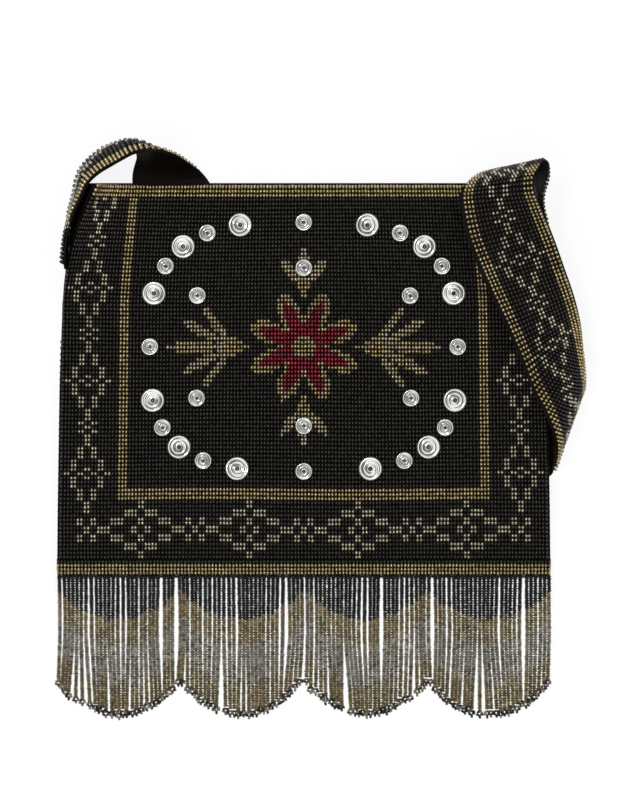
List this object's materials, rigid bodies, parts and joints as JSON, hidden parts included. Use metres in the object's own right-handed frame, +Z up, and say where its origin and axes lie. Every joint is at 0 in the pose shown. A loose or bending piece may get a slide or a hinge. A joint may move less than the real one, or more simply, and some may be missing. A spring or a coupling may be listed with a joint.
{
  "type": "beaded fringed shoulder bag",
  "caption": "Flat beaded shoulder bag with a framed flower panel, bead-chain borders, a scalloped bead fringe and a wide beaded strap laid under it and over its front.",
  "frame": {"origin": "on the table, below the centre of the whole object's box", "axes": "+Z up from the table, +Y from the hem to the mouth, +X to the right as the front is seen"},
  "size_m": [0.2688, 0.2946, 0.0434],
  "materials": {
    "black_cloth": "black ribbed cloth and satin lining",
    "black_beads": "glossy black glass beads",
    "gold_beads": "metal-coated gold glass beads",
    "red_beads": "glossy red glass beads",
    "silvered_glass": "silvered pressed glass",
    "fringe_beads": "metal-coated glass beads in bands of olive, silver, bronze and gunmetal",
    "nickelled_steel": "nickelled steel"
  },
  "bodies": {
    "bag_back": {"back_panel": "black_cloth", "back_lining": "black_cloth", "hem_bead_roll": "gold_beads", "side_seam_left": "black_cloth", "side_seam_right": "black_cloth", "strap_bead_field": "black_beads", "strap_gold_line_a": "gold_beads", "strap_gold_line_b": "gold_beads", "strap_backing": "black_cloth", "snap_stud": "nickelled_steel"},
    "bag_front": {"front_base_cloth": "black_cloth", "front_lining": "black_cloth", "front_bead_field": "black_beads", "front_bead_border": "black_beads", "gold_frame_beads": "gold_beads", "top_gold_band": "gold_beads", "flower_gold_edge": "gold_beads", "flower_red_petals": "red_beads", "palmette_right": "gold_beads", "palmette_left": "gold_beads", "palmette_upper": "gold_beads", "palmette_lower": "gold_beads", "large_sequin_1": "silvered_glass", "large_sequin_2": "silvered_glass", "large_sequin_3": "silvered_glass", "large_sequin_4": "silvered_glass", "large_sequin_5": "silvered_glass", "large_sequin_6": "silvered_glass", "large_sequin_7": "silvered_glass", "large_sequin_8": "silvered_glass", "large_sequin_9": "silvered_glass", "large_sequin_10": "silvered_glass", "large_sequin_11": "silvered_glass", "large_sequin_12": "silvered_glass", "small_sequin_1": "silvered_glass", "small_sequin_2": "silvered_glass", "small_sequin_3": "silvered_glass", "small_sequin_4": "silvered_glass", "small_sequin_5": "silvered_glass", "small_sequin_6": "silvered_glass", "small_sequin_7": "silvered_glass", "small_sequin_8": "silvered_glass", "small_sequin_9": "silvered_glass", "small_sequin_10": "silvered_glass", "small_sequin_11": "silvered_glass", "small_sequin_12": "silvered_glass", "small_sequin_13": "silvered_glass", "small_sequin_14": "silvered_glass", "small_sequin_15": "silvered_glass", "small_sequin_16": "silvered_glass", "small_sequin_17": "silvered_glass", "small_sequin_18": "silvered_glass", "snap_socket": "nickelled_steel", "snap_magnet": "nickelled_steel"},
    "scallop_1": {"fringe_1": "fringe_beads"},
    "scallop_2": {"fringe_2": "fringe_beads"},
    "scallop_3": {"fringe_3": "fringe_beads"},
    "scallop_4": {"fringe_4": "fringe_beads"}
  },
  "joints": [
    {"name": "mouth_open", "type": "hinge", "parent": "bag_back", "child": "bag_front", "pos_m": [-0.00894, -0.06979, 0.00415], "axis": [1, 0, 0], "range_deg": [0, 3]},
    {"name": "fringe_swing_1", "type": "hinge", "parent": "bag_back", "child": "scallop_1", "pos_m": [-0.00894, -0.06979, 0.00415], "axis": [1, 0, 0], "range_deg": [-90, 90]},
    {"name": "fringe_swing_2", "type": "hinge", "parent": "bag_back", "child": "scallop_2", "pos_m": [-0.00894, -0.06979, 0.00415], "axis": [1, 0, 0], "range_deg": [-90, 90]},
    {"name": "fringe_swing_3", "type": "hinge", "parent": "bag_back", "child": "scallop_3", "pos_m": [-0.00894, -0.06979, 0.00415], "axis": [1, 0, 0], "range_deg": [-90, 90]},
    {"name": "fringe_swing_4", "type": "hinge", "parent": "bag_back", "child": "scallop_4", "pos_m": [-0.00894, -0.06979, 0.00415], "axis": [1, 0, 0], "range_deg": [-90, 90]}
  ]
}
